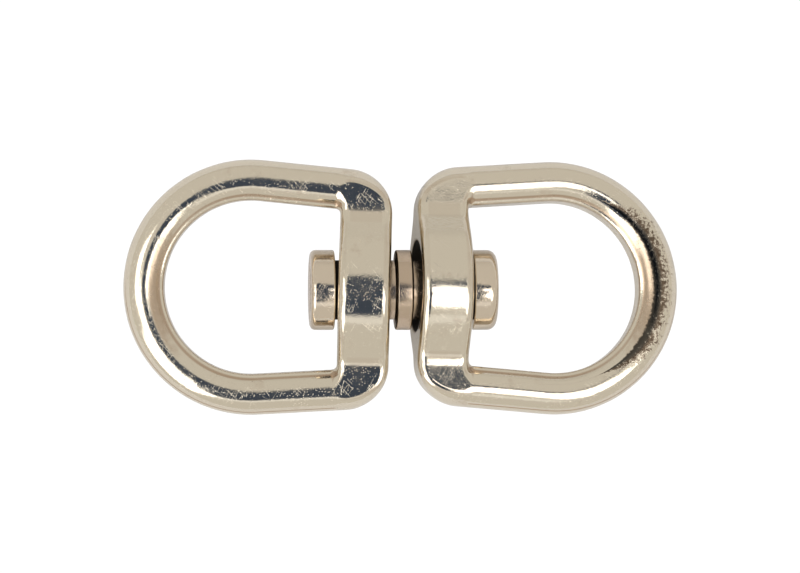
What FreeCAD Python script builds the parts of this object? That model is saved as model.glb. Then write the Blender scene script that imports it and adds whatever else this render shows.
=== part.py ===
import FreeCAD, Part
import math
import os

# Double-eye swivel. Two identical cast eyes turn freely on one double-headed spindle.
# Millimetres. X runs along the spindle towards the right eye, Y across the eyes and Z up
# through their flat side. The origin is the middle of the spindle's collar.

# Eye, in its own frame: the bore's axis is X, and the face that meets the collar is at 0.
opening_length = 25.4
rod_diameter = 5.8
bow_radius = 15.6
limb_flare = math.radians(4.4)
bar_thickness = 7.5
bar_depth = 6.0
bar_side_margin = 0.05
corner_radius = 6.0
bar_edge_radius = 2.4
limb_root = 5.5

# Boss in the middle of the crossbar: a lens section with its tips cut off
boss_depth = 16.0
boss_half_span = 10.9
boss_cut_half_span = 11.5
boss_edge_radius = 1.0

# Bore and its countersunk mouth
bore_diameter = 10.2
mouth_diameter = 13.2
mouth_depth = 1.5

# Spindle and the two heads pressed on its tenons
collar_diameter = 11.6
collar_length = 2.25
collar_bevel = 0.3
neck_diameter = 8.6
slot_length = 8.9
tenon_diameter = 6.0
head_diameter = 11.6
head_length = 3.5
head_edge_radius = 0.8
head_inner_bevel = 0.25
peened_height = 0.3
peened_diameter = 7.0

# How the loose eyes lie on the spindle
eye_gap = 1.8
eye_droop = 4.0
left_turn = 1.4
right_turn = 0.9
right_lift = 0.55
right_twist = 6.0

# Worked out from the values above
rod_radius = rod_diameter / 2
bow_middle = bar_thickness + opening_length + rod_radius - bow_radius
head_face = collar_length / 2 + slot_length
spindle_end = head_face + head_length
seat_middle = eye_gap + bar_thickness / 2


def point(x, y, z=0.0):
    return FreeCAD.Vector(x, y, z)


def line(a, b):
    return Part.LineSegment(a, b).toShape()


def arc(a, middle, b):
    return Part.Arc(a, middle, b).toShape()


def limb_offset(x):
    """Distance of a limb's centre line from the eye's middle line, x along the bore."""
    join = bow_middle - bow_radius * math.sin(limb_flare)
    return bow_radius * math.cos(limb_flare) - (join - x) * math.tan(limb_flare)


def bow():
    """Round rod: one limb, the bow and the other limb, in one sweep."""
    join_x = bow_middle - bow_radius * math.sin(limb_flare)
    join_y = bow_radius * math.cos(limb_flare)
    root_y = limb_offset(limb_root)
    crown = point(bow_middle + bow_radius, 0)
    path = Part.Wire([
        line(point(limb_root, -root_y), point(join_x, -join_y)),
        arc(point(join_x, -join_y), crown, point(join_x, join_y)),
        line(point(join_x, join_y), point(limb_root, root_y)),
    ])
    along = point(math.cos(limb_flare), -math.sin(limb_flare))
    section = Part.Circle(point(limb_root, -root_y), along, rod_radius).toShape()
    return path.makePipeShell([Part.Wire([section])], True, True)


def bar():
    """Crossbar between the limbs, with broad outer corners and well rounded edges."""
    side = rod_radius / math.cos(limb_flare) + bar_side_margin
    face_side = limb_offset(0) + side
    back_side = limb_offset(bar_thickness) + side
    centre_y = face_side + corner_radius * (math.tan(limb_flare) - 1 / math.cos(limb_flare))
    half_way = math.radians(135) + limb_flare / 2

    def corner(angle, sign):
        x = corner_radius + corner_radius * math.cos(angle)
        return point(x, sign * (centre_y + corner_radius * math.sin(angle)))

    flat_end = math.radians(180)
    side_start = math.radians(90) + limb_flare
    outline = Part.Wire([
        line(corner(flat_end, -1), corner(flat_end, 1)),
        arc(corner(flat_end, 1), corner(half_way, 1), corner(side_start, 1)),
        line(corner(side_start, 1), point(bar_thickness, back_side)),
        line(point(bar_thickness, back_side), point(bar_thickness, -back_side)),
        line(point(bar_thickness, -back_side), corner(side_start, -1)),
        arc(corner(side_start, -1), corner(half_way, -1), corner(flat_end, -1)),
    ])
    solid = Part.Face(outline).extrude(point(0, 0, bar_depth))
    solid.translate(point(0, 0, -bar_depth / 2))
    rims = []
    for edge in solid.Edges:
        box = edge.BoundBox
        lies_flat = box.ZLength < 1e-6
        on_back = box.XMin > bar_thickness - 1e-6
        if lies_flat and not on_back:
            rims.append(edge)
    return solid.makeFillet(bar_edge_radius, rims)


def boss():
    """Domed middle of the crossbar, where the bore needs wall around it."""
    rise = (boss_depth - bar_depth) / 2
    dome_radius = (boss_half_span ** 2 + rise ** 2) / (2 * rise)
    dome_middle = boss_depth / 2 - dome_radius
    cut_height = dome_middle + math.sqrt(dome_radius ** 2 - boss_cut_half_span ** 2)

    def on_section(y, z):
        return point(0, y, z)

    upper_left = on_section(-boss_cut_half_span, cut_height)
    upper_right = on_section(boss_cut_half_span, cut_height)
    lower_left = on_section(-boss_cut_half_span, -cut_height)
    lower_right = on_section(boss_cut_half_span, -cut_height)
    outline = Part.Wire([
        arc(upper_left, on_section(0, boss_depth / 2), upper_right),
        line(upper_right, lower_right),
        arc(lower_right, on_section(0, -boss_depth / 2), lower_left),
        line(lower_left, upper_left),
    ])
    solid = Part.Face(outline).extrude(point(bar_thickness, 0, 0))
    rims = [edge for edge in solid.Edges if edge.BoundBox.YLength > boss_half_span]
    return solid.makeFillet(boss_edge_radius, rims)


def bore():
    """Through hole with a countersunk mouth on the collar's side."""
    overrun = 1.0
    along = point(1, 0, 0)
    hole = Part.makeCylinder(bore_diameter / 2, bar_thickness + 2 * overrun, point(-overrun, 0), along)
    mouth = Part.makeCone(mouth_diameter / 2, bore_diameter / 2, mouth_depth, point(0, 0), along)
    return hole.fuse(mouth)


def eye():
    body = bar().fuse([boss(), bow()]).removeSplitter()
    return body.cut(bore()).removeSplitter().Solids[0]


def seated(eye_solid, twist, turn, lift, is_left):
    """Put an eye on the spindle, drooping and turned by what its loose bore allows."""
    placed = eye_solid.copy()
    placed.rotate(point(0, 0), point(1, 0), -twist)
    placed.translate(point(eye_gap, 0))
    seat = point(seat_middle, 0)
    origin = point(0, 0)
    up = point(0, 0, 1)
    placed.rotate(seat, point(0, 1, 0), eye_droop)
    if is_left:
        placed.rotate(origin, up, 180)
        seat = point(-seat_middle, 0)
    placed.rotate(seat, up, -turn)
    placed.translate(point(0, lift))
    return placed


def spindle():
    """Turned pin: collar in the middle, a neck each side, and a tenon at each end."""
    collar = collar_diameter / 2
    neck = neck_diameter / 2
    tenon = tenon_diameter / 2
    half_collar = collar_length / 2
    half = [
        (half_collar - collar_bevel, collar),
        (half_collar, collar - collar_bevel),
        (half_collar, neck),
        (head_face, neck),
        (head_face, tenon),
        (spindle_end, tenon),
    ]
    right = [point(x, r) for x, r in half]
    left = [point(-x, r) for x, r in reversed(half)]
    outline = [point(-spindle_end, 0)] + left + right + [point(spindle_end, 0)]
    section = Part.Face(Part.makePolygon(outline + outline[:1]))
    pin = section.revolve(point(0, 0), point(1, 0, 0), 360)
    return pin.fuse([peened_end(1), peened_end(-1)]).removeSplitter().Solids[0]


def peened_end(side):
    """Low dome that the hammered tenon spreads over its head."""
    radius = peened_diameter / 2
    edge = point(side * spindle_end, radius)
    top = point(side * (spindle_end + peened_height), 0)
    dome_radius = (radius ** 2 + peened_height ** 2) / (2 * peened_height)
    half_angle = math.asin(radius / dome_radius) / 2
    depth = dome_radius * (1 - math.cos(half_angle))
    middle = point(side * (spindle_end + peened_height - depth), dome_radius * math.sin(half_angle))
    foot = point(side * spindle_end, 0)
    section = Part.Face(Part.Wire([arc(edge, middle, top), line(top, foot), line(foot, edge)]))
    return section.revolve(point(0, 0), point(1, 0, 0), 360)


def rim_at(solid, x):
    """Closed edges of a round solid that lie in the plane at x."""
    return [edge for edge in solid.Edges if edge.Closed and abs(edge.BoundBox.Center.x - x) < 1e-6]


def retaining_head(side):
    """Cap on a tenon, with a rounded outer edge. Its flat face keeps the eye on."""
    along = point(side, 0, 0)
    start = point(side * head_face, 0)
    cap = Part.makeCylinder(head_diameter / 2, head_length, start, along)
    cap = cap.makeFillet(head_edge_radius, rim_at(cap, side * spindle_end))
    cap = cap.makeChamfer(head_inner_bevel, rim_at(cap, start.x))
    hole = Part.makeCylinder(tenon_diameter / 2, head_length, start, along)
    return cap.cut(hole).Solids[0]


def main():
    blank = eye()
    parts = {
        "left_eye": seated(blank, 0.0, left_turn, 0.0, True),
        "right_eye": seated(blank, right_twist, right_turn, right_lift, False),
        "spindle": spindle(),
        "left_retaining_head": retaining_head(-1),
        "right_retaining_head": retaining_head(1),
    }
    os.makedirs("parts", exist_ok=True)
    for name, shape in parts.items():
        box = shape.BoundBox
        print(name, "valid", shape.isValid(), "solids", len(shape.Solids), "volume", round(shape.Volume, 2),
              "x", round(box.XMin, 2), round(box.XMax, 2), "y", round(box.YMin, 2), round(box.YMax, 2),
              "z", round(box.ZMin, 2), round(box.ZMax, 2))
        shape.exportStep("parts/" + name + ".step")


main()
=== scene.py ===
"""Double-eye swivel: two plated cast eyes that turn freely on one double-headed spindle.

The file is laid out as an add-on and run as a script. All sizes are in metres, in the frame of
the packed model: X along the spindle, Y across the eyes, Z up, origin in the collar's middle.
"""

import math

import bmesh
import bpy
from bpy.props import FloatProperty, FloatVectorProperty, IntProperty, PointerProperty
from mathutils import Matrix, Vector


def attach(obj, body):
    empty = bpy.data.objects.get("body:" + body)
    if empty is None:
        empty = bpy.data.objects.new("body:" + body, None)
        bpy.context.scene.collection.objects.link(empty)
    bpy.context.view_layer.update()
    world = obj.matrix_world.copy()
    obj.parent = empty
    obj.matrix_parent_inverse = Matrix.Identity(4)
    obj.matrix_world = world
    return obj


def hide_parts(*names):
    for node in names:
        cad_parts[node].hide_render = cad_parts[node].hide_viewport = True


bl_info = {
    "name": "Double-eye swivel",
    "version": (1, 0, 0),
    "blender": (4, 5, 0),
    "location": "View3D > Sidebar > Swivel",
    "description": "Builds a plated double-eye swivel around its packed frame",
    "category": "Add Mesh",
}

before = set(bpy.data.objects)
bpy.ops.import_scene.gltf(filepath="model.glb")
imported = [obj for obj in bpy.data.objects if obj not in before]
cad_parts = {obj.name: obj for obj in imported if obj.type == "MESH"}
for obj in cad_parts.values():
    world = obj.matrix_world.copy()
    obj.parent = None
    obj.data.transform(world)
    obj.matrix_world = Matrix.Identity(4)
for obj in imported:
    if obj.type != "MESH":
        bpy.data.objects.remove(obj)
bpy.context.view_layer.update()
MM = 0.001

# How fine each pattern in the metal is, in cells to the metre
WAVES = 230.0
CLOUDS = 320.0
SCRATCH_PATCHES = 420.0
RIPPLES = 900.0
BROAD_SCRATCHES = 1100.0
FINE_SCRATCHES = 1700.0
WORN_PATCHES = 1800.0
POCKS = 2600.0
DIMPLES = 3400.0


def length(name, description, millimetres):
    """A distance property, its default written in millimetres."""
    return FloatProperty(
        name=name, description=description, default=millimetres * MM, precision=5,
        subtype="DISTANCE", unit="LENGTH")


def turn(name, description, degrees):
    """An angle property, its default written in degrees."""
    return FloatProperty(
        name=name, description=description, default=math.radians(degrees),
        subtype="ANGLE", unit="ROTATION")


def colour(name, description, rgb):
    """A colour property, in linear light."""
    return FloatVectorProperty(
        name=name, description=description, default=rgb, size=3, min=0.0, soft_max=1.0, subtype="COLOR")


def share(name, description, value, most=1.0):
    """A plain number from nought to most."""
    return FloatProperty(name=name, description=description, default=value, min=0.0, max=most)


# ---------------------------------------------------------------------------------------
# Sizes and colours that a user would change
# ---------------------------------------------------------------------------------------

class EyeSizes(bpy.types.PropertyGroup):
    """The casting, in its own frame: bore along X, collar's face at nought."""

    opening: length("Opening", "Length of the opening from the crossbar to the bow", 25.24)
    rod: length("Rod", "Diameter of the round rod of the bow and limbs", 5.96)
    bow: length("Bow", "Radius of the bow's centre line", 15.52)
    flare: turn("Flare", "Lean of each limb away from the eye's middle line", 4.4)
    bar: length("Crossbar", "Thickness of the crossbar along the bore", 7.5)
    corner: length("Outer corner", "Radius of the crossbar's outer corners", 6.0)
    inner_corner: length("Inner corner", "Radius where a limb meets the crossbar", 0.7)
    boss: length("Boss", "Depth of the crossbar over its domed middle", 16.0)
    boss_span: length("Boss half span", "Half the width of the domed middle", 10.7)
    flank: turn("Boss flank", "Slope of the straight sides of the dome", 38.0)
    boss_root: length("Boss root", "Radius where the dome runs out on the bar's flat ends", 0.8)
    boss_edge: length("Boss edge", "Radius of the crossbar's long edges", 1.2)
    blend: length("Blend", "Distance over which the flat crossbar turns into the round rod", 2.16)
    bore: length("Bore", "Diameter of the hole for the spindle", 10.2)
    mouth: length("Mouth", "Diameter of the bore's countersunk mouth", 13.2)
    mouth_depth: length("Mouth depth", "Depth of the countersink", 1.5)
    mouth_edge: length("Mouth edge", "Radius that the bore's edges are rounded to", 0.35)
    wave: length("Waviness", "Height of the casting's slow unevenness", 0.02)
    pitch: length("Mesh pitch", "Size of the mesh's faces", 0.23)


class SeatSizes(bpy.types.PropertyGroup):
    """How the loose eyes lie on the spindle."""

    gap: length("Gap", "From the collar's middle to each eye's face", 1.8)
    droop: turn("Droop", "Tilt of each eye's bow towards the floor", 4.0)
    left_turn: turn("Left turn", "Turn of the left eye about the upright", -1.4)
    right_turn: turn("Right turn", "Turn of the right eye about the upright", -0.9)
    right_lift: length("Right lift", "How far the right eye sits off the spindle's axis", 0.55)
    right_twist: turn("Right twist", "Turn of the right eye about its own bore", -6.0)


class SpindleSizes(bpy.types.PropertyGroup):
    """The turned pin and the two heads on it."""

    collar: length("Collar", "Diameter of the middle collar", 11.6)
    collar_length: length("Collar length", "Length of the collar along the spindle", 2.25)
    neck: length("Neck", "Diameter of the spindle in the bores", 8.6)
    slot: length("Slot", "Room for an eye between the collar and a head", 8.9)
    tenon: length("Tenon", "Diameter of the reduced ends that hold the heads", 6.0)
    head: length("Head", "Diameter of the retaining heads", 11.6)
    head_length: length("Head length", "Length of a retaining head", 3.5)
    left_edge: length("Left head edge", "Radius of the left head's outer edge", 0.8)
    right_edge: length("Right head edge", "Radius of the right head's outer edge", 1.3)
    peened: length("Peened end", "Diameter of the hammered tenon end", 7.0)
    peened_height: length("Peened height", "How far the hammered end stands proud", 0.12)
    facets: IntProperty(
        name="Facets", description="Faces round a turned piece", default=128, min=24, max=256)


class FinishColours(bpy.types.PropertyGroup):
    """The nickel plate, what has gathered in it, and the shade painted in its creases and bores."""

    nickel: colour("Nickel", "Bright plate on the castings", (0.70, 0.625, 0.50))
    pin_nickel: colour("Pin nickel", "Thinner, browner plate on the turned pieces", (0.68, 0.58, 0.455))
    # This brown also stands for the shade painted in the creases
    tarnish_and_shade: colour("Tarnish and painted shade", "Brown tint along edges, and brown with painted shade in creases", (0.33, 0.19, 0.10))
    # Black for the shade painted in the bores and on the necks, and for worn plate
    shade_and_wear_black: colour("Painted shade and worn black", "Black of the shade painted in the bore, and of worn plate", (0.007, 0.006, 0.005))
    gloss: share("Roughness", "Roughness of clean plate", 0.10)
    dimple: share("Dimple depth", "Strength of the orange-peel dimples", 0.6)


class WearAndShadeSizes(bpy.types.PropertyGroup):
    """Where an eye's plate is stained and worn, and where shade is painted in its bore, in the
    casting's own frame.
    """

    tide: length("Tide line", "Height of the thin brown line round each eye's near side", 1.5)
    brown_inside: length("Brown inside", "Distance from the bow's middle to the brown inside its crown", 13.1)
    brown_end: length("Brown end", "Distance from the bow's middle to that brown's outer edge", 15.0)
    brown_start: length("Brown start", "Distance from the bore's mouth to the brown's ends", 31.0)
    worn: length("Worn band", "Distance from the bow's middle to the worn plating", 14.3)
    worn_width: length("Worn width", "Width of the worn plating at the crown", 2.3)
    worn_start: length("Worn start", "Distance from the bore's mouth to the band's ends", 26.0)
    crown: length("Crown", "Distance from the bore's mouth to where both are fully there", 35.0)
    # The next two place the shade painted matt black in and round the bore
    shade_around: length("Painted shade round the bore", "Radius of the painted shade round an eye's bore", 6.5)
    shade_depth: length("Painted shade depth", "How far the painted shade reaches through an eye", 7.0)


class StageSizes(bpy.types.PropertyGroup):
    """Floor, lights and camera."""

    distance: length("Camera distance", "From the lens to the swivel's middle", 500.0)
    width: length("View width", "Width that the picture covers at the swivel", 116.0)
    yaw: turn("Camera yaw", "How far the camera leans towards the left eye", 4.3)
    aim_x: length("Aim along", "Picture's middle along the spindle", -0.4)
    aim_y: length("Aim across", "Picture's middle across the eyes", 0.5)
    floor_drop: length("Floor", "Depth of the floor below the spindle's axis", 8.3)
    floor_glow: share("Floor glow", "Brightness of the white table top", 1.05, 2.0)
    paper: colour("Paper", "Colour of the paper that the metal mirrors", (0.58, 0.58, 0.59))
    paper_glow: share("Paper glow", "Brightness that the paper has of its own", 0.35)
    sky: colour("Studio", "Light from the studio's pale walls", (0.76, 0.745, 0.71))
    far_wall: share("Far wall", "Brightness of the wall's foot on the far side", 0.86)
    shade: colour("Shade", "Light from the dark gap round the lens", (0.055, 0.075, 0.12))
    card_height: length("Card height", "Height of the dark ceiling over the swivel", 600.0)
    panel_power: share("Panel power", "Brightness of the white panels", 3.0, 10.0)


# ---------------------------------------------------------------------------------------
# Node trees written as expressions
# ---------------------------------------------------------------------------------------

class Value:
    """A number socket. Arithmetic on it adds Math nodes to its tree."""

    def __init__(self, nodes, socket):
        self.nodes = nodes
        self.socket = socket

    def __add__(self, other):
        return self.nodes.math("ADD", self, other)

    def __radd__(self, other):
        return self.nodes.math("ADD", other, self)

    def __sub__(self, other):
        return self.nodes.math("SUBTRACT", self, other)

    def __rsub__(self, other):
        return self.nodes.math("SUBTRACT", other, self)

    def __mul__(self, other):
        return self.nodes.math("MULTIPLY", self, other)

    def __rmul__(self, other):
        return self.nodes.math("MULTIPLY", other, self)

    def __truediv__(self, other):
        return self.nodes.math("DIVIDE", self, other)

    def __rtruediv__(self, other):
        return self.nodes.math("DIVIDE", other, self)

    def __neg__(self):
        return self.nodes.math("MULTIPLY", self, -1.0)

    def __abs__(self):
        return self.nodes.math("ABSOLUTE", self)

    def __gt__(self, other):
        return self.nodes.math("GREATER_THAN", self, other)

    def __lt__(self, other):
        return self.nodes.math("LESS_THAN", self, other)


class Nodes:
    """Adds nodes to one tree."""

    def __init__(self, tree):
        self.tree = tree

    def join(self, value, socket):
        """Link a value to a socket, or set the socket to a plain number or colour."""
        if isinstance(value, Value):
            value = value.socket
        if isinstance(value, bpy.types.NodeSocket):
            self.tree.links.new(value, socket)
        else:
            socket.default_value = value

    def add(self, kind, settings=None, sockets=None):
        """A node of any kind, with its settings first and its sockets after them."""
        node = self.tree.nodes.new(kind)
        for name, value in (settings or {}).items():
            setattr(node, name, value)
        for name, value in (sockets or {}).items():
            self.join(value, node.inputs[name])
        return node

    def value(self, node, output=0):
        return Value(self, node.outputs[output])

    def math(self, operation, *operands):
        node = self.add("ShaderNodeMath", {"operation": operation}, dict(enumerate(operands)))
        return self.value(node)

    def least(self, a, b):
        return self.math("MINIMUM", a, b)

    def most(self, a, b):
        return self.math("MAXIMUM", a, b)

    def hypotenuse(self, a, b):
        return self.math("SQRT", a * a + b * b)

    def smooth(self, value, start, end):
        """Nought before start, one after end, and a smooth step between."""
        settings = {"interpolation_type": "SMOOTHSTEP"}
        sockets = {"Value": value, "From Min": start, "From Max": end, "To Min": 0.0, "To Max": 1.0}
        return self.value(self.add("ShaderNodeMapRange", settings, sockets))

    def split(self, vector):
        node = self.add("ShaderNodeSeparateXYZ", None, {0: vector})
        return [self.value(node, axis) for axis in range(3)]

    def combine(self, x, y, z):
        return self.add("ShaderNodeCombineXYZ", None, {0: x, 1: y, 2: z}).outputs[0]

    def vector(self, operation, a, b):
        """Vector Math on two vectors, or on a vector and a number for SCALE."""
        second = "Scale" if operation == "SCALE" else 1
        node = self.add("ShaderNodeVectorMath", {"operation": operation}, {0: a, second: b})
        return node.outputs["Value" if operation == "DOT_PRODUCT" else "Vector"]

    def blend(self, factor, a, b):
        """Mix two colours."""
        node = self.add("ShaderNodeMix", {"data_type": "RGBA"}, {0: factor, 6: a, 7: b})
        return node.outputs[2]

    def noise(self, vector, scale, detail=2.0, roughness=0.5):
        sockets = {"Vector": vector, "Scale": scale, "Detail": detail, "Roughness": roughness}
        return self.value(self.add("ShaderNodeTexNoise", None, sockets))


# ---------------------------------------------------------------------------------------
# The cast eyes: one solid written as a distance rule and meshed from a volume
# ---------------------------------------------------------------------------------------

# How far the probe's four points lie from a point of the mesh: close by to settle it on the
# skin, and further out to tell a crease or a ridge from the flat
PROBE_REACH = 0.05 * MM
BEND_REACH = 0.3 * MM

# Where the crossbar's tight edge opens out into the round rod: it starts this far inside the
# rod's middle line, and beside the opening it runs from within the opening to past its rim
SHOULDER = 1.0 * MM
OPENING_MARGIN = 0.6 * MM
OPENING_SHOULDER = 0.9 * MM


def rounded_cut(nodes, a, b, radius):
    """Distance to what two solids share, the edge between them rounded."""
    deep = nodes.least(nodes.most(a, b), -radius)
    return deep + nodes.hypotenuse(nodes.most(a + radius, 0.0), nodes.most(b + radius, 0.0))


def filleted_join(nodes, a, b, radius):
    """Distance to two solids together, the crease between them filled."""
    closeness = nodes.most(radius - abs(a - b), 0.0)
    return nodes.least(a, b) - closeness * closeness / (radius * 4.0)


def limb_reach(nodes, x, across, size):
    """Distance from the opening's middle, measured square to the limb or along the bow's radius."""
    from_middle = x - (size["bar"] + size["opening"] + size["rod"] * 0.5 - size["bow"])
    lean = nodes.math("SINE", size["flare"])
    upright = nodes.math("COSINE", size["flare"])
    on_limb = (from_middle * upright + across * lean) < 0.0
    beside_limb = across * upright - from_middle * lean
    round_bow = nodes.hypotenuse(from_middle, across)
    return round_bow + (beside_limb - round_bow) * on_limb


def dome_distance(nodes, across, height, size):
    """Distance to the dome over the bore: a round crown between two straight flanks."""
    lean = nodes.math("SINE", size["flank"])
    upright = nodes.math("COSINE", size["flank"])
    rise = (size["boss"] - size["rod"]) * 0.5
    crown = (size["boss_span"] * lean - rise * upright) / (1.0 - upright)
    above = height - size["boss"] * 0.5 + crown
    on_crown = (across * upright) < (above * lean)
    on_flank = across * lean + above * upright - crown
    return on_flank + (nodes.hypotenuse(across, above) - crown - on_flank) * on_crown


def hole_distance(nodes, x, around, size):
    """Distance to the bore with its countersunk mouth, negative inside the hole."""
    past_bar = x - (size["bar"] + size["opening"] * 0.5)
    straight = around - size["bore"] * 0.5
    slope = (size["mouth"] - size["bore"]) * 0.5 / size["mouth_depth"]
    steepness = nodes.math("SQRT", slope * slope + 1.0)
    flared = (around - size["mouth"] * 0.5 + x * slope) / steepness
    return nodes.most(nodes.least(straight, flared), past_bar)


def casting_distance(nodes, position, size):
    """Distance to the casting's skin: a D-shaped ring, its round rod ending in a flat crossbar."""
    x, y, z = nodes.split(position)
    across = abs(y)
    half_rod = size["rod"] * 0.5
    outer_rim = size["bow"] + half_rod
    inner_rim = size["bow"] - half_rod
    flat = abs(z) - half_rod
    reach = limb_reach(nodes, x, across, size)
    outside = rounded_cut(nodes, reach - outer_rim, -x, size["corner"])
    opening = rounded_cut(nodes, reach - inner_rim, size["bar"] - x, size["inner_corner"])
    dome = dome_distance(nodes, across, abs(z), size)
    domed = filleted_join(nodes, flat, dome, size["boss_root"])
    on_bar = x < (size["bar"] + size["opening"] * 0.5)
    depth = flat + (domed - flat) * on_bar
    towards_rim = nodes.smooth(reach, size["bow"] - SHOULDER, outer_rim)
    blend_start = size["bar"] - size["blend"] * (2.0 / 3.0)
    past_bar = nodes.smooth(x, blend_start, blend_start + size["blend"])
    beside_opening = nodes.smooth(reach, inner_rim - OPENING_MARGIN, inner_rim + OPENING_SHOULDER)
    roundness = towards_rim + past_bar * beside_opening * (1.0 - towards_rim)
    edge = size["boss_edge"] + (half_rod - size["boss_edge"]) * roundness
    body = rounded_cut(nodes, depth, nodes.most(outside, -opening), edge)
    hole = hole_distance(nodes, x, nodes.hypotenuse(y, z), size)
    return rounded_cut(nodes, body, -hole, size["mouth_edge"])


def open_tree(name, inputs, outputs):
    """An empty tree with named sockets. Gives its nodes, its input values and its output node."""
    tree = bpy.data.node_groups.new(name, "GeometryNodeTree")
    for label, kind in inputs.items():
        tree.interface.new_socket(label, in_out="INPUT", socket_type=kind)
    for label, kind in outputs.items():
        tree.interface.new_socket(label, in_out="OUTPUT", socket_type=kind)
    nodes = Nodes(tree)
    given = nodes.add("NodeGroupInput")
    values = {label: Value(nodes, given.outputs[label]) for label in inputs}
    return nodes, values, nodes.add("NodeGroupOutput")


def size_sockets():
    """One number socket for each of the eye's sizes."""
    return {name: "NodeSocketFloat" for name in EyeSizes.__annotations__}


def rule_tree():
    """Group that gives a point's distance from the casting's skin."""
    inputs = {"position": "NodeSocketVector", **size_sockets()}
    nodes, given, result = open_tree("Casting rule", inputs, {"Distance": "NodeSocketFloat"})
    nodes.join(casting_distance(nodes, given["position"], given), result.inputs["Distance"])
    return nodes.tree


def probe_tree(rule):
    """Group that gives the distance, its slope and the skin's bend from four near points."""
    inputs = {"reach": "NodeSocketFloat", **size_sockets()}
    outputs = {"Distance": "NodeSocketFloat", "Slope": "NodeSocketVector", "Bend": "NodeSocketFloat"}
    nodes, given, result = open_tree("Casting probe", inputs, outputs)
    reach = given.pop("reach")
    position = nodes.add("GeometryNodeInputPosition").outputs[0]
    # The points are a tetrahedron's corners. On the skin their distances would add up to
    # nought if it were flat, so what is left over is its bend
    total = 0.0
    slope = (0.0, 0.0, 0.0)
    for corner in ((1.0, -1.0, -1.0), (-1.0, -1.0, 1.0), (-1.0, 1.0, -1.0), (1.0, 1.0, 1.0)):
        there = nodes.vector("ADD", position, nodes.vector("SCALE", corner, reach))
        near = nodes.add("GeometryNodeGroup", {"node_tree": rule}, {"position": there, **given})
        distance = nodes.value(near)
        total = distance + total
        slope = nodes.vector("ADD", nodes.vector("SCALE", corner, distance), slope)
    nodes.join(total * 0.25, result.inputs["Distance"])
    nodes.join(nodes.vector("SCALE", slope, 0.25 / reach), result.inputs["Slope"])
    nodes.join(total / (reach * reach * 2.0), result.inputs["Bend"])
    return nodes.tree


def settle(nodes, geometry, probe, size):
    """Move every point of the mesh on to the skin that the rule describes."""
    here = nodes.add("GeometryNodeGroup", {"node_tree": probe}, {"reach": PROBE_REACH, **size})
    slope = here.outputs["Slope"]
    steepness = Value(nodes, nodes.vector("DOT_PRODUCT", slope, slope))
    offset = nodes.vector("SCALE", slope, -nodes.value(here) / steepness)
    return moved(nodes, geometry, offset)


def moved(nodes, geometry, offset):
    """Shift each point by its own offset."""
    sockets = {"Geometry": geometry, "Offset": offset}
    return nodes.add("GeometryNodeSetPosition", None, sockets).outputs[0]


def casting_tree(material):
    """Geometry Nodes that make one eye from its sizes."""
    rule = rule_tree()
    probe = probe_tree(rule)
    nodes, size, result = open_tree("Eye casting", size_sockets(), {"Geometry": "NodeSocketGeometry"})
    margin = size["pitch"] * 4.0
    far = size["bar"] + size["opening"] + size["rod"] + margin
    wide = size["bow"] + size["rod"] * 0.5 + margin
    high = size["boss"] * 0.5 + margin
    position = nodes.add("GeometryNodeInputPosition").outputs[0]
    field = nodes.add("GeometryNodeGroup", {"node_tree": rule}, {"position": position, **size})
    # A half on the skin, nought two faces outside it and one two faces inside
    density = nodes.value(field) / size["pitch"] * -0.25 + 0.5
    volume = nodes.add("GeometryNodeVolumeCube", None, {
        "Density": nodes.add("ShaderNodeClamp", None, {0: density}).outputs[0],
        "Min": nodes.combine(-margin, -wide, -high),
        "Max": nodes.combine(far, wide, high),
        "Resolution X": (far + margin) / size["pitch"],
        "Resolution Y": wide * 2.0 / size["pitch"],
        "Resolution Z": high * 2.0 / size["pitch"],
    }).outputs[0]
    meshed = {"Volume": volume, "Threshold": 0.5}
    skin = nodes.add("GeometryNodeVolumeToMesh", None, meshed).outputs[0]
    skin = settle(nodes, skin, probe, size)
    skin = settle(nodes, skin, probe, size)
    # The finish follows the bend, and the casting's own frame from before it is seated
    here = nodes.add("GeometryNodeGroup", {"node_tree": probe}, {"reach": BEND_REACH, **size})
    skin = stored(nodes, skin, "bend", "FLOAT", nodes.value(here, "Bend") * MM)
    skin = stored(nodes, skin, "casting", "FLOAT_VECTOR", position)
    skin = wavy(nodes, skin, size)
    skin = nodes.add("GeometryNodeSetShadeSmooth", None, {"Geometry": skin}).outputs[0]
    skin = nodes.add("GeometryNodeRealizeInstances", None, {"Geometry": skin}).outputs[0]
    finished = {"Geometry": skin, "Material": material}
    skin = nodes.add("GeometryNodeSetMaterial", None, finished).outputs[0]
    nodes.join(skin, result.inputs["Geometry"])
    return nodes.tree


def stored(nodes, geometry, name, kind, value):
    """Keep a value on the mesh's points under a name."""
    settings = {"data_type": kind, "domain": "POINT"}
    sockets = {"Geometry": geometry, "Name": name, "Value": value}
    return nodes.add("GeometryNodeStoreNamedAttribute", settings, sockets).outputs[0]


def wavy(nodes, geometry, size):
    """The slow unevenness of a hand-finished casting, which sinks it a little below its rule."""
    position = nodes.add("GeometryNodeInputPosition").outputs[0]
    normal = nodes.add("GeometryNodeInputNormal").outputs[0]
    height = (nodes.noise(position, WAVES, 1.0) - 0.75) * size["wave"] * 2.0
    return moved(nodes, geometry, nodes.vector("SCALE", normal, height))


def mesh_from_tree(name, tree, sizes):
    """Run a tree once with the given sizes and keep the plain mesh."""
    maker = bpy.data.objects.new(name + "_maker", bpy.data.meshes.new(name + "_maker"))
    bpy.context.scene.collection.objects.link(maker)
    modifier = maker.modifiers.new("Casting", "NODES")
    modifier.node_group = tree
    for item in tree.interface.items_tree:
        if item.item_type == "SOCKET" and item.in_out == "INPUT":
            modifier[item.identifier] = getattr(sizes, item.name)
    evaluated = maker.evaluated_get(bpy.context.evaluated_depsgraph_get())
    mesh = bpy.data.meshes.new_from_object(evaluated)
    mesh.name = name
    bpy.data.objects.remove(maker)
    return mesh


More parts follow.
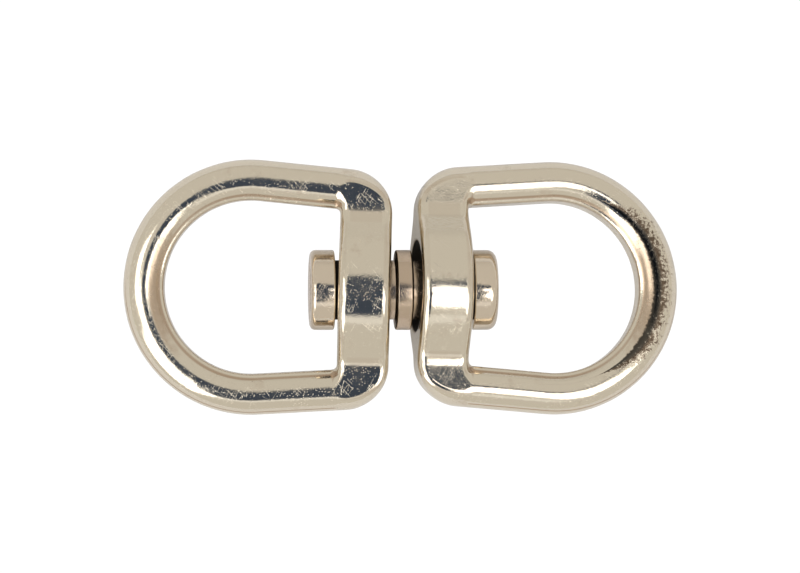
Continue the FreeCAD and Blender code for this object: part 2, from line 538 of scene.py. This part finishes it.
def seat_matrix(seats, eye_sizes, is_left):
    """Where an eye's own frame lies on the spindle."""
    seat = Vector((seats.gap + eye_sizes.bar / 2, 0, 0))
    droop = Matrix.Translation(seat) @ Matrix.Rotation(seats.droop, 4, "Y") @ Matrix.Translation(-seat)
    twist = 0.0 if is_left else seats.right_twist
    placed = droop @ Matrix.Translation((seats.gap, 0, 0)) @ Matrix.Rotation(twist, 4, "X")
    if is_left:
        placed = Matrix.Rotation(math.pi, 4, "Z") @ placed
        seat = -seat
    swing = seats.left_turn if is_left else seats.right_turn
    lift = 0.0 if is_left else seats.right_lift
    swung = Matrix.Translation(seat) @ Matrix.Rotation(swing, 4, "Z") @ Matrix.Translation(-seat)
    return Matrix.Translation((0, lift, 0)) @ swung @ placed


# ---------------------------------------------------------------------------------------
# Turned pieces
# ---------------------------------------------------------------------------------------

def rounded_profile(corners, steps=6):
    """A turned outline: (x, r, rounding) corners, each rounding given as a short curve."""
    points = []
    for index, (x, r, rounding) in enumerate(corners):
        here = Vector((x, r))
        if rounding <= 0 or index in (0, len(corners) - 1):
            points.append(here)
            continue
        back = (Vector(corners[index - 1][:2]) - here).normalized()
        ahead = (Vector(corners[index + 1][:2]) - here).normalized()
        half = back.angle(ahead) / 2
        start = here + back * (rounding / math.tan(half))
        end = here + ahead * (rounding / math.tan(half))
        middle = here + (back + ahead).normalized() * (rounding / math.sin(half))
        spokes = (start - middle, end - middle)
        for step in range(steps + 1):
            points.append(middle + spokes[0].lerp(spokes[1], step / steps).normalized() * rounding)
    return points


def turned_mesh(name, outline, facets, closed):
    """Revolve an outline of (x, r) points about the X axis."""
    build = bmesh.new()
    rings = []
    for point in outline:
        on_axis = point.y < 1e-7
        if on_axis:
            rings.append([build.verts.new((point.x, 0, 0))] * facets)
            continue
        ring = []
        for facet in range(facets):
            angle = 2 * math.pi * facet / facets
            across = point.y * math.cos(angle)
            up = point.y * math.sin(angle)
            ring.append(build.verts.new((point.x, across, up)))
        rings.append(ring)
    pairs = list(zip(rings, rings[1:]))
    if closed:
        pairs.append((rings[-1], rings[0]))
    for first, second in pairs:
        for facet in range(facets):
            after = (facet + 1) % facets
            loop = [first[facet], first[after], second[after], second[facet]]
            corners = list(dict.fromkeys(loop))
            build.faces.new(corners)
    bmesh.ops.recalc_face_normals(build, faces=build.faces)
    for face in build.faces:
        face.smooth = True
    mesh = bpy.data.meshes.new(name)
    build.to_mesh(mesh)
    build.free()
    return mesh


# Radii that the sharp edges are broken to, and the tenons' clearance in their heads
EDGE_BREAK = 0.25 * MM
HOLE_BREAK = 0.1 * MM
CLEARANCE = 0.02 * MM

# A hammered end rises from just inside its head, over a tapered rim, to a low crown
PEENED_ROOT = 0.05 * MM
PEENED_TAPER = 0.1 * MM
PEENED_RIM = 0.12 * MM
PEENED_CROWN = 1.5 * MM


def spindle_outline(size):
    """The pin's outline from its left end to its right one, one half mirroring the other."""
    half_collar = size.collar_length / 2
    face = half_collar + size.slot
    end = face + size.head_length
    tenon = size.tenon / 2 - CLEARANCE
    foot = end - PEENED_ROOT
    rim = size.peened / 2
    right = [
        (half_collar, size.collar / 2, EDGE_BREAK),
        (half_collar, size.neck / 2, EDGE_BREAK),
        (face, size.neck / 2, 0),
        (face, tenon, 0),
        (foot, tenon, 0),
        (foot, rim, 0),
        (end + size.peened_height * 0.35, rim - PEENED_TAPER, PEENED_RIM),
        (end + size.peened_height * 0.95, rim / 2, PEENED_CROWN),
        (end + size.peened_height, 0, 0),
    ]
    left = [(-x, r, rounding) for x, r, rounding in reversed(right)]
    return rounded_profile(left + right)


def head_outline(size, edge):
    """Closed outline of a retaining head: a ring with a rounded outer edge."""
    face = size.collar_length / 2 + size.slot
    end = face + size.head_length
    hole = size.tenon / 2
    half_way = (hole + size.head / 2) / 2
    # It starts and ends on the flat inner face, since its end points aren't rounded
    return rounded_profile([
        (face, half_way, 0),
        (face, size.head / 2, EDGE_BREAK),
        (end, size.head / 2, edge),
        (end, hole, HOLE_BREAK),
        (face, hole, HOLE_BREAK),
        (face, half_way - 2 * HOLE_BREAK, 0),
    ])


# ---------------------------------------------------------------------------------------
# Finishes
# ---------------------------------------------------------------------------------------

def new_material(name):
    """An empty node material. Gives it and its nodes."""
    material = bpy.data.materials.new(name)
    material.use_nodes = True
    material.node_tree.nodes.clear()
    return material, Nodes(material.node_tree)


def scratches(nodes, place, angle, scale):
    """Thin broken lines at an angle to X."""
    turn_about_z = {"rotation_type": "Z_AXIS"}
    turned = nodes.add("ShaderNodeVectorRotate", turn_about_z, {"Vector": place, "Angle": angle})
    drawn = nodes.vector("MULTIPLY", turned.outputs[0], (0.12, 1.0, 0.3))
    line = 1.0 - nodes.smooth(abs(nodes.noise(drawn, scale, 0.0) - 0.5), 0.001, 0.008)
    return line * nodes.smooth(nodes.noise(place, SCRATCH_PATCHES, 1.0), 0.50, 0.64)


class Plate:
    """Nickel plate as it builds up: its relief, brown tint, black worn plate, and painted shade in
    creases and in the bore.
    """

    def __init__(self, nodes, place):
        self.nodes = nodes
        self.place = place
        self.x, self.y, self.z = nodes.split(place)
        self.around = nodes.hypotenuse(self.y, self.z)
        self.cloud = nodes.noise(place, CLOUDS, 3.0, 0.6)
        self.ripple = nodes.noise(place, RIPPLES, 1.0)
        dimples = nodes.noise(place, DIMPLES, 2.0, 0.6)
        cells = nodes.add("ShaderNodeTexVoronoi", None, {"Vector": place, "Scale": DIMPLES})
        pit = 1.0 - nodes.smooth(nodes.value(cells, "Distance"), 0.03, 0.24)
        pit = pit * nodes.smooth(self.cloud, 0.38, 0.6)
        marks = scratches(nodes, place, 0.7, BROAD_SCRATCHES)
        marks = marks + scratches(nodes, place, -1.1, FINE_SCRATCHES)
        self.relief = dimples * 0.28 + self.ripple * 0.3 - pit * 0.95 - marks * 0.28
        self.film_and_shade = nodes.smooth(self.cloud, 0.58, 0.8) * 0.2
        self.brown(pit * nodes.smooth(self.cloud, 0.52, 0.66) * 0.7)
        self.grime_and_shade = 0.0
        self.shade_and_wear_black = 0.0

    def brown(self, amount):
        """Let the brown tint, with the painted crease shade in it, be at least this thick."""
        self.film_and_shade = self.nodes.most(self.film_and_shade, amount)

    def blacken(self, amount):
        """Let the black, of worn plate and of painted shade, be at least this thick."""
        self.grime_and_shade = self.nodes.most(self.grime_and_shade, amount)

    def fill_with_painted_shade(self, where):
        """Paint matt black shade where the amount rises from nought to one."""
        self.shade_and_wear_black = where
        self.blacken(where * 0.97)


def bow_reach(plate, eye):
    """Distance from the bow's middle, or from the eye's middle line beside the limbs."""
    bow_middle = eye.bar + eye.opening + eye.rod / 2 - eye.bow
    return plate.nodes.hypotenuse(plate.nodes.most(plate.x - bow_middle, 0.0), plate.y)


def shade_and_tint_creases(plate, scene):
    """Brown tint in the casting's creases, partly thin plate and partly painted shade, and a thinner
    tint along its ridges.
    """
    nodes = plate.nodes
    bend = nodes.value(nodes.add("ShaderNodeAttribute", {"attribute_name": "bend"}), "Fac")
    # Creases get the thin plate's brown tint, darkened further as painted shade
    plate.brown(nodes.smooth(-bend, 0.05, 0.9) * 0.65)
    plate.brown(nodes.smooth(bend, 0.55, 1.3) * plate.cloud * 0.45)


def draw_tide_line(plate, scene):
    """A thin brown line along the outside of the bow, on the swivel's near side."""
    nodes = plate.nodes
    eye = scene.swivel_eye
    line = 1.0 - nodes.smooth(abs(plate.z - scene.swivel_wear.tide), 0.06 * MM, 0.14 * MM)
    outside = (bow_reach(plate, eye) > eye.bow) * (plate.x > eye.bar)
    across_swivel = nodes.split(nodes.add("ShaderNodeTexCoord").outputs["Object"])[1]
    near_side = nodes.smooth(-across_swivel, -3.0 * MM, 3.0 * MM)
    plate.brown(line * outside * near_side * 0.7)


def brown_crown_inside(plate, scene):
    """Brown painted round the inside of the crown, on the eye's upper side."""
    nodes = plate.nodes
    wear_and_shade = scene.swivel_wear
    reach = bow_reach(plate, scene.swivel_eye)
    starting = nodes.smooth(reach, wear_and_shade.brown_inside, wear_and_shade.brown_inside + 0.4 * MM)
    ending = 1.0 - nodes.smooth(reach, wear_and_shade.brown_end - 0.6 * MM, wear_and_shade.brown_end)
    uneven_x = plate.x + plate.ripple * 3.0 * MM
    at_crown = nodes.smooth(uneven_x, wear_and_shade.brown_start, wear_and_shade.crown + 0.5 * MM)
    plate.brown(starting * ending * at_crown * (plate.z > 0.0) * 0.55)


def paint_bore_shade(plate, scene):
    """Painted shade: matt black in the bore and round its mouth."""
    wear_and_shade = scene.swivel_wear
    shade_edge = plate.nodes.smooth(plate.around, wear_and_shade.shade_around, wear_and_shade.shade_around + 0.4 * MM)
    # Painted shade round the bore's mouth and through the eye
    plate.fill_with_painted_shade((1.0 - shade_edge) * (plate.x < wear_and_shade.shade_depth))


def wear_crown(plate, scene):
    """Plating worn away along the top of the crown: black within, pocked and brown without."""
    nodes = plate.nodes
    wear_and_shade = scene.swivel_wear
    band = nodes.smooth(plate.x, wear_and_shade.worn_start, wear_and_shade.crown) * wear_and_shade.worn_width + 0.01 * MM
    over_band = (bow_reach(plate, scene.swivel_eye) - wear_and_shade.worn) / band
    patchy = nodes.noise(plate.place, WORN_PATCHES, 4.0, 0.75) - 0.5
    starting = nodes.smooth(over_band + patchy * 0.5, 0.0, 0.14)
    ending = 1.0 - nodes.smooth(over_band + patchy * 3.0, 0.6, 1.15)
    worn = starting * ending * (plate.z > 0.0)
    pocked = nodes.smooth(over_band, 0.3, 0.7)
    pocks = nodes.noise(plate.place, POCKS, 2.0, 0.7)
    plate.relief = plate.relief + worn * pocked * pocks * 1.5
    plate.brown(worn * pocked * 0.75)
    plate.blacken(worn * (0.9 - pocked * 0.2))


def stain_and_shade_pin(plate, scene):
    """Brown tint on the necks, the ends and the collar, and painted shade, matt black, where the pin
    runs in the bores.
    """
    nodes = plate.nodes
    size = scene.swivel_spindle
    from_middle = abs(plate.x)
    plate.brown(nodes.smooth(-plate.around, -5.0 * MM, -4.2 * MM) * 0.35)
    plate.brown((from_middle < 2.0 * MM) * 0.4)
    on_neck = (plate.around < (size.neck / 2 + 0.3 * MM)) * (from_middle < 11.0 * MM)
    # Painted shade: the necks go matt black where they run into the bores
    plate.fill_with_painted_shade(nodes.smooth(from_middle, 3.5 * MM, 4.3 * MM) * on_neck)


def plated(name, scene, metal, is_casting, *steps):
    """Bright nickel over a dimpled ground, with each step's stains, worn plate and painted shade put on
    it in turn.
    """
    colours = scene.swivel_finish
    material, nodes = new_material(name)
    if is_casting:
        place = nodes.add("ShaderNodeAttribute", {"attribute_name": "casting"}).outputs["Vector"]
    else:
        place = nodes.add("ShaderNodeTexCoord").outputs["Object"]
    plate = Plate(nodes, place)
    for step in steps:
        step(plate, scene)
    # The brown carries the creases' painted shade as well as the real tint
    tone = nodes.blend(plate.film_and_shade, (*metal, 1.0), (*colours.tarnish_and_shade, 1.0))
    # Painted shade in the bore and on the necks turns the colour black here, as the worn crown does
    tone = nodes.blend(plate.grime_and_shade, tone, (*colours.shade_and_wear_black, 1.0))
    clouded = nodes.smooth(plate.cloud, 0.4, 0.75) * 0.07
    bump = nodes.add("ShaderNodeBump", None, {
        "Strength": colours.dimple,
        "Distance": 0.05 * MM,
        "Height": plate.relief,
    })
    # Where shade is painted the plate is also made matt and not metal
    shader = nodes.add("ShaderNodeBsdfPrincipled", None, {
        "Base Color": tone,
        "Roughness": colours.gloss + clouded + plate.film_and_shade * 0.25 + plate.shade_and_wear_black * 0.75,
        "Metallic": 1.0 - plate.shade_and_wear_black * 0.9,
        "Normal": bump.outputs[0],
    })
    nodes.add("ShaderNodeOutputMaterial", None, {"Surface": shader.outputs[0]})
    return material


# ---------------------------------------------------------------------------------------
# Studio
# ---------------------------------------------------------------------------------------

WHITE = (1.0, 1.0, 1.0)


def glow_material(name, rgb, strength=1.0):
    """A surface that gives off an even light."""
    material, nodes = new_material(name)
    light = nodes.add("ShaderNodeEmission", None, {"Color": (*rgb, 1.0), "Strength": strength})
    nodes.add("ShaderNodeOutputMaterial", None, {"Surface": light.outputs[0]})
    return material


def ceiling_material(stage):
    """Dark over the lens, fading to the wall's light on the far side and to white on the near one."""
    material = glow_material("dark_ceiling", stage.shade)
    nodes = Nodes(material.node_tree)
    along, across, _ = nodes.split(nodes.add("ShaderNodeTexCoord").outputs["Object"])
    towards_wall = nodes.smooth(across + along * 0.5, 0.17, 0.23)
    towards_near = nodes.smooth(-across, 0.36, 0.43)
    shade = nodes.blend(towards_wall, (*stage.shade, 1.0), (*stage.sky, 1.0))
    shade = nodes.blend(towards_near, shade, (*WHITE, 1.0))
    nodes.join(shade, material.node_tree.nodes["Emission"].inputs["Color"])
    return material


def rectangle(name, width, depth, material, place):
    """A flat rectangle of the studio, moved to its place by a matrix."""
    x, y = width / 2, depth / 2
    mesh = bpy.data.meshes.new(name)
    mesh.from_pydata([(-x, -y, 0), (x, -y, 0), (x, y, 0), (-x, y, 0)], [], [(0, 1, 2, 3)])
    mesh.transform(place)
    mesh.materials.append(material)
    piece = bpy.data.objects.new(name, mesh)
    bpy.context.scene.collection.objects.link(piece)
    return piece


def card(name, material, centre, width, depth):
    """An overhead card that faces the swivel: width runs round it, and depth out from it."""
    facing = (-Vector(centre)).to_track_quat("Z", "Y").to_matrix().to_4x4()
    place = Matrix.Translation(centre) @ facing
    piece = rectangle(name, width, depth, material, place)
    piece.visible_camera = False


def lay_floor(stage):
    """A glowing white table top for the lens, over the pale paper that the metal mirrors."""
    side = 6.0
    level = Matrix.Translation((0, 0, -stage.floor_drop))
    glow = glow_material("white_glow", WHITE, stage.floor_glow)
    table = rectangle("white_table", side, side, glow, level)
    table.visible_glossy = False
    table.visible_diffuse = False
    table.visible_shadow = False
    paper_matt = bpy.data.materials.new("pale_paper")
    paper_matt.use_nodes = True
    shader = paper_matt.node_tree.nodes["Principled BSDF"]
    shader.inputs["Base Color"].default_value = (*stage.paper, 1.0)
    shader.inputs["Roughness"].default_value = 0.9
    shader.inputs["Emission Color"].default_value = (*stage.paper, 1.0)
    shader.inputs["Emission Strength"].default_value = stage.paper_glow
    just_below = Matrix.Translation((0, 0, -0.1 * MM)) @ level
    paper = rectangle("pale_paper", side, side, paper_matt, just_below)
    paper.visible_camera = False


def light_studio(stage):
    """Pale walls all round, bright panels beside the lens and a dark gap where the lens looks in."""
    world = bpy.data.worlds.new("studio")
    bpy.context.scene.world = world
    world.use_nodes = True
    background = world.node_tree.nodes["Background"]
    nodes = Nodes(world.node_tree)
    _, across, up = nodes.split(nodes.add("ShaderNodeTexCoord").outputs["Generated"])
    foot_of_far_wall = nodes.smooth(across - up, 0.6, 1.1)
    dimmed = [light * stage.far_wall for light in stage.sky]
    walls = nodes.blend(foot_of_far_wall, (*stage.sky, 1.0), (*dimmed, 1.0))
    nodes.join(walls, background.inputs["Color"])
    background.inputs["Strength"].default_value = 1.0

    dark = glow_material("dark_wall", stage.shade)
    bright = glow_material("bright_panel", WHITE, stage.panel_power)
    soft = glow_material("soft_panel", WHITE)
    # Metres. Each later card hangs a little lower, so that it covers the ones before it
    top = stage.card_height
    card("dark_ceiling", ceiling_material(stage), (-0.02, -0.06, top), 0.26, 0.76)
    card("dark_side", dark, (0.155, 0.0875, top - 0.005), 0.09, 0.065)
    card("panel_left", bright, (-0.42, -0.36, top - 0.01), 0.50, 0.88)
    card("panel_right", bright, (0.26, -0.1625, top - 0.01), 0.30, 0.435)
    card("panel_near", soft, (0, -0.50, top - 0.02), 0.5, 0.16)
    card("panel_gap", bright, (0.105, 0, top - 0.025), 0.068, 0.085)
    card("panel_edge", bright, (-0.49, 0.04, top - 0.03), 0.26, 0.30)


def place_camera(stage):
    """Look down on the swivel, square to the left eye."""
    lens = bpy.data.cameras.new("camera")
    lens.sensor_width = 36.0
    lens.lens = lens.sensor_width * stage.distance / stage.width
    lens.clip_start = 0.01
    lens.clip_end = 20.0
    camera = bpy.data.objects.new("camera", lens)
    bpy.context.scene.collection.objects.link(camera)
    back = Vector((-math.sin(stage.yaw), 0, math.cos(stage.yaw)))
    aim = Vector((stage.aim_x, stage.aim_y, 0))
    camera.location = aim + back * stage.distance
    right = Vector((math.cos(stage.yaw), 0, math.sin(stage.yaw)))
    up = Vector((0, 1, 0))
    camera.rotation_mode = "QUATERNION"
    camera.rotation_quaternion = Matrix((right, up, back)).transposed().to_quaternion()
    bpy.context.scene.camera = camera


# ---------------------------------------------------------------------------------------
# Operators
# ---------------------------------------------------------------------------------------

def show(name, mesh, body, slot, *nodes_replaced):
    """Put a finished mesh in the scene as a piece of a body."""
    piece = bpy.data.objects.new(name, mesh)
    bpy.context.scene.collection.objects.link(piece)
    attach(piece, body)
    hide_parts(*nodes_replaced)
    return piece


class SWIVEL_OT_eyes(bpy.types.Operator):
    """Cast the two eyes and seat them on the spindle"""

    bl_idname = "swivel.eyes"
    bl_label = "Cast eyes"

    def execute(self, context):
        scene = context.scene
        nickel = scene.swivel_finish.nickel
        # Two of these steps paint shade: in the creases and in the bore
        steps = (shade_and_tint_creases, draw_tide_line, brown_crown_inside, paint_bore_shade)
        plate = plated("nickel_on_casting", scene, nickel, True, *steps)
        worn_plate = plated(
            "nickel_on_pocked_casting", scene, nickel, True, *steps, wear_crown)
        casting = mesh_from_tree("eye_casting", casting_tree(plate), scene.swivel_eye)
        if not casting.polygons:
            raise RuntimeError("the eye's rule gave no skin")
        for side in ("left", "right"):
            mesh = casting.copy()
            mesh.transform(seat_matrix(scene.swivel_seats, scene.swivel_eye, side == "left"))
            mesh.materials.clear()
            mesh.materials.append(plate if side == "left" else worn_plate)
            mesh.polygons.foreach_set("material_index", (0,) * len(mesh.polygons))
            node = side + "_eye"
            show(node + "_casting", mesh, node, "plated_casting", node)
        return {"FINISHED"}


class SWIVEL_OT_spindle(bpy.types.Operator):
    """Turn the spindle with its collar, necks and hammered ends"""

    bl_idname = "swivel.spindle"
    bl_label = "Turn spindle"

    def execute(self, context):
        scene = context.scene
        size = scene.swivel_spindle
        metal = scene.swivel_finish.pin_nickel
        # This finish paints the necks matt black as shade where they run into the bores
        plate = plated("nickel_on_steel", scene, metal, False, stain_and_shade_pin)
        mesh = turned_mesh("spindle_turned", spindle_outline(size), size.facets, False)
        mesh.materials.append(plate)
        show("spindle_turned", mesh, "spindle", "plated_steel", "spindle")
        return {"FINISHED"}


class SWIVEL_OT_heads(bpy.types.Operator):
    """Turn the two retaining heads"""

    bl_idname = "swivel.heads"
    bl_label = "Turn heads"

    def execute(self, context):
        size = context.scene.swivel_spindle
        plate = bpy.data.materials["nickel_on_steel"]
        for side in ("left", "right"):
            node = side + "_retaining_head"
            edge = size.left_edge if side == "left" else size.right_edge
            mesh = turned_mesh(node + "_turned", head_outline(size, edge), size.facets, True)
            if side == "left":
                mesh.transform(Matrix.Rotation(math.pi, 4, "Z"))
            mesh.materials.append(plate)
            show(node + "_turned", mesh, "spindle", "plated_steel", node)
        return {"FINISHED"}


class SWIVEL_OT_stage(bpy.types.Operator):
    """Lay the paper floor, hang the lights and set up the camera"""

    bl_idname = "swivel.stage"
    bl_label = "Set stage"

    def execute(self, context):
        stage = context.scene.swivel_stage
        lay_floor(stage)
        light_studio(stage)
        place_camera(stage)
        context.scene.view_settings.view_transform = "Standard"
        return {"FINISHED"}


# ---------------------------------------------------------------------------------------
# Panel and registration
# ---------------------------------------------------------------------------------------

class SWIVEL_PT_build(bpy.types.Panel):
    """Lists the swivel's sizes and the steps that build it"""

    bl_idname = "SWIVEL_PT_build"
    bl_label = "Double-eye swivel"
    bl_space_type = "VIEW_3D"
    bl_region_type = "UI"
    bl_category = "Swivel"

    def draw(self, context):
        layout = self.layout
        for attribute, group in GROUPS.items():
            box = layout.box()
            box.label(text=group.__doc__)
            for name in group.__annotations__:
                box.prop(getattr(context.scene, attribute), name)
        for step in STEPS:
            layout.operator(step.bl_idname)


GROUPS = {
    "swivel_eye": EyeSizes,
    "swivel_seats": SeatSizes,
    "swivel_spindle": SpindleSizes,
    "swivel_finish": FinishColours,
    "swivel_wear": WearAndShadeSizes,
    "swivel_stage": StageSizes,
}
STEPS = (SWIVEL_OT_eyes, SWIVEL_OT_spindle, SWIVEL_OT_heads, SWIVEL_OT_stage)


def register():
    for attribute, group in GROUPS.items():
        bpy.utils.register_class(group)
        setattr(bpy.types.Scene, attribute, PointerProperty(type=group))
    for cls in (*STEPS, SWIVEL_PT_build):
        bpy.utils.register_class(cls)


def unregister():
    for cls in (SWIVEL_PT_build, *reversed(STEPS)):
        bpy.utils.unregister_class(cls)
    for attribute, group in reversed(GROUPS.items()):
        delattr(bpy.types.Scene, attribute)
        bpy.utils.unregister_class(group)


def main():
    register()
    bpy.ops.swivel.eyes()
    bpy.ops.swivel.spindle()
    bpy.ops.swivel.heads()
    bpy.ops.swivel.stage()


if __name__ == "__main__":
    main()
